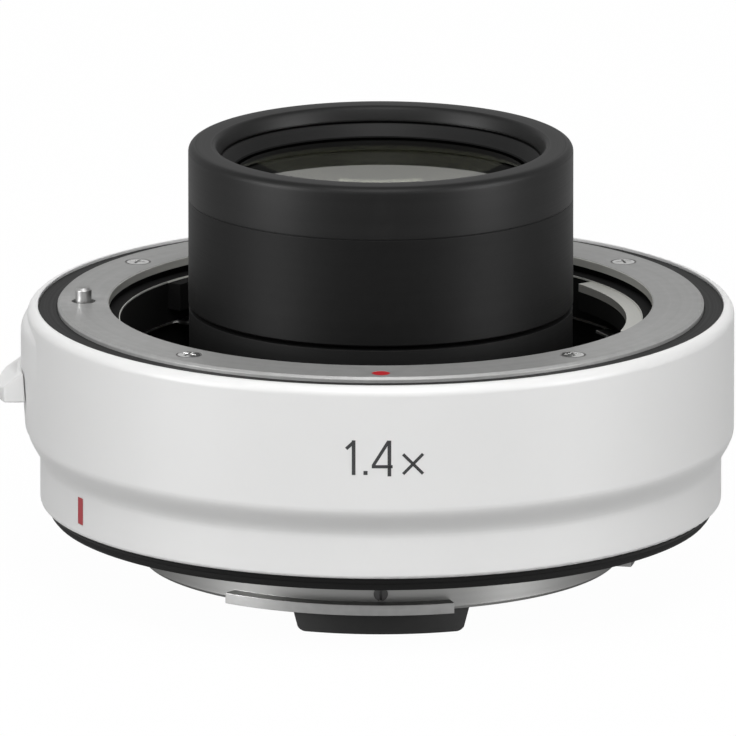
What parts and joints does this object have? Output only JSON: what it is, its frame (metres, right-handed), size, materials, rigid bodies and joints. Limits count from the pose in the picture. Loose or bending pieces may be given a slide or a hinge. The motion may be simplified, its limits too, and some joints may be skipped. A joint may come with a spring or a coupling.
{
  "type": "camera teleconverter",
  "caption": "Short white camera teleconverter with a protruding black lens tube, a bayonet ring in front with lock pin and release lever, and a lugged bayonet behind.",
  "frame": {"origin": "on the optical axis in the rear bearing plane, where the part seats on a camera", "axes": "+Z along the optical axis towards the lens, -Y towards the red index dot, -X towards the release lever"},
  "size_m": [0.0733, 0.0702, 0.0444],
  "materials": {
    "white_paint": "fine satin enamel",
    "trim_black": "satin black",
    "steel": "turned satin",
    "anodised_black": "matt black anodising",
    "lens_glass": "coated and polished",
    "rubber": "moulded",
    "red_enamel": "enamel fill",
    "gold_plate": "gold plated",
    "black_plastic": "fine grain",
    "board_green": "solder mask",
    "flex_amber": "polyimide film",
    "shim_brass": "ground",
    "spring_steel": "rolled"
  },
  "bodies": {
    "body": {"outer_barrel": "white_paint", "front_trim_ring": "trim_black", "rear_gasket": "rubber", "rear_index_mark": "red_enamel", "front_mount_ring": "steel", "front_mount_screws": "steel", "front_index_dot": "red_enamel", "front_leaf_springs": "spring_steel", "lock_spring": "spring_steel", "lock_guide_rods": "steel", "chassis": "anodised_black", "front_lens_tube": "anodised_black", "front_cap_ring": "anodised_black", "front_retaining_ring": "anodised_black", "second_group_retainer": "anodised_black", "middle_lens_cell": "anodised_black", "middle_retainer": "anodised_black", "cell_spacer": "anodised_black", "rear_lens_cell": "anodised_black", "rear_retaining_ring": "anodised_black", "rear_mount_ring": "steel", "rear_mount_screws": "steel", "rear_mount_shim": "shim_brass", "stop_screw": "steel", "rear_inner_cover": "black_plastic", "rear_cover_screws": "steel", "rear_contact_block": "black_plastic", "rear_contact_pads": "gold_plate", "front_contact_block": "black_plastic", "contact_block_screws": "steel", "contact_tails": "gold_plate", "circuit_board": "board_green", "control_chip": "black_plastic", "board_screws": "steel", "flex_circuit": "flex_amber", "lens_1": "lens_glass", "lens_2": "lens_glass", "lens_3": "lens_glass", "lens_4": "lens_glass", "lens_5": "lens_glass", "lens_6": "lens_glass", "lens_7": "lens_glass"},
    "lock": {"lock_pin": "steel", "lock_lever": "white_paint", "lock_carriage": "black_plastic", "lever_cross_pin": "steel"},
    "contact_pin_01_body": {"contact_pin_01": "gold_plate"},
    "contact_pin_02_body": {"contact_pin_02": "gold_plate"},
    "contact_pin_03_body": {"contact_pin_03": "gold_plate"},
    "contact_pin_04_body": {"contact_pin_04": "gold_plate"},
    "contact_pin_05_body": {"contact_pin_05": "gold_plate"},
    "contact_pin_06_body": {"contact_pin_06": "gold_plate"},
    "contact_pin_07_body": {"contact_pin_07": "gold_plate"},
    "contact_pin_08_body": {"contact_pin_08": "gold_plate"},
    "contact_pin_09_body": {"contact_pin_09": "gold_plate"},
    "contact_pin_10_body": {"contact_pin_10": "gold_plate"},
    "contact_pin_11_body": {"contact_pin_11": "gold_plate"},
    "contact_pin_12_body": {"contact_pin_12": "gold_plate"}
  },
  "joints": [
    {"name": "lock_slide", "type": "slide", "parent": "body", "child": "lock", "axis": [0, 0, 1], "range_m": [-0.0016, 0], "stiffness_N_per_m": 400, "springref_m": 0.003, "deforming": ["lock_spring"]},
    {"name": "contact_pin_01_slide", "type": "slide", "parent": "body", "child": "contact_pin_01_body", "axis": [0, 0, 1], "range_m": [-0.0006, 0], "stiffness_N_per_m": 100, "springref_m": 0.0015},
    {"name": "contact_pin_02_slide", "type": "slide", "parent": "body", "child": "contact_pin_02_body", "axis": [0, 0, 1], "range_m": [-0.0006, 0], "stiffness_N_per_m": 100, "springref_m": 0.0015},
    {"name": "contact_pin_03_slide", "type": "slide", "parent": "body", "child": "contact_pin_03_body", "axis": [0, 0, 1], "range_m": [-0.0006, 0], "stiffness_N_per_m": 100, "springref_m": 0.0015},
    {"name": "contact_pin_04_slide", "type": "slide", "parent": "body", "child": "contact_pin_04_body", "axis": [0, 0, 1], "range_m": [-0.0006, 0], "stiffness_N_per_m": 100, "springref_m": 0.0015},
    {"name": "contact_pin_05_slide", "type": "slide", "parent": "body", "child": "contact_pin_05_body", "axis": [0, 0, 1], "range_m": [-0.0006, 0], "stiffness_N_per_m": 100, "springref_m": 0.0015},
    {"name": "contact_pin_06_slide", "type": "slide", "parent": "body", "child": "contact_pin_06_body", "axis": [0, 0, 1], "range_m": [-0.0006, 0], "stiffness_N_per_m": 100, "springref_m": 0.0015},
    {"name": "contact_pin_07_slide", "type": "slide", "parent": "body", "child": "contact_pin_07_body", "axis": [0, 0, 1], "range_m": [-0.0006, 0], "stiffness_N_per_m": 100, "springref_m": 0.0015},
    {"name": "contact_pin_08_slide", "type": "slide", "parent": "body", "child": "contact_pin_08_body", "axis": [0, 0, 1], "range_m": [-0.0006, 0], "stiffness_N_per_m": 100, "springref_m": 0.0015},
    {"name": "contact_pin_09_slide", "type": "slide", "parent": "body", "child": "contact_pin_09_body", "axis": [0, 0, 1], "range_m": [-0.0006, 0], "stiffness_N_per_m": 100, "springref_m": 0.0015},
    {"name": "contact_pin_10_slide", "type": "slide", "parent": "body", "child": "contact_pin_10_body", "axis": [0, 0, 1], "range_m": [-0.0006, 0], "stiffness_N_per_m": 100, "springref_m": 0.0015},
    {"name": "contact_pin_11_slide", "type": "slide", "parent": "body", "child": "contact_pin_11_body", "axis": [0, 0, 1], "range_m": [-0.0006, 0], "stiffness_N_per_m": 100, "springref_m": 0.0015},
    {"name": "contact_pin_12_slide", "type": "slide", "parent": "body", "child": "contact_pin_12_body", "axis": [0, 0, 1], "range_m": [-0.0006, 0], "stiffness_N_per_m": 100, "springref_m": 0.0015}
  ]
}
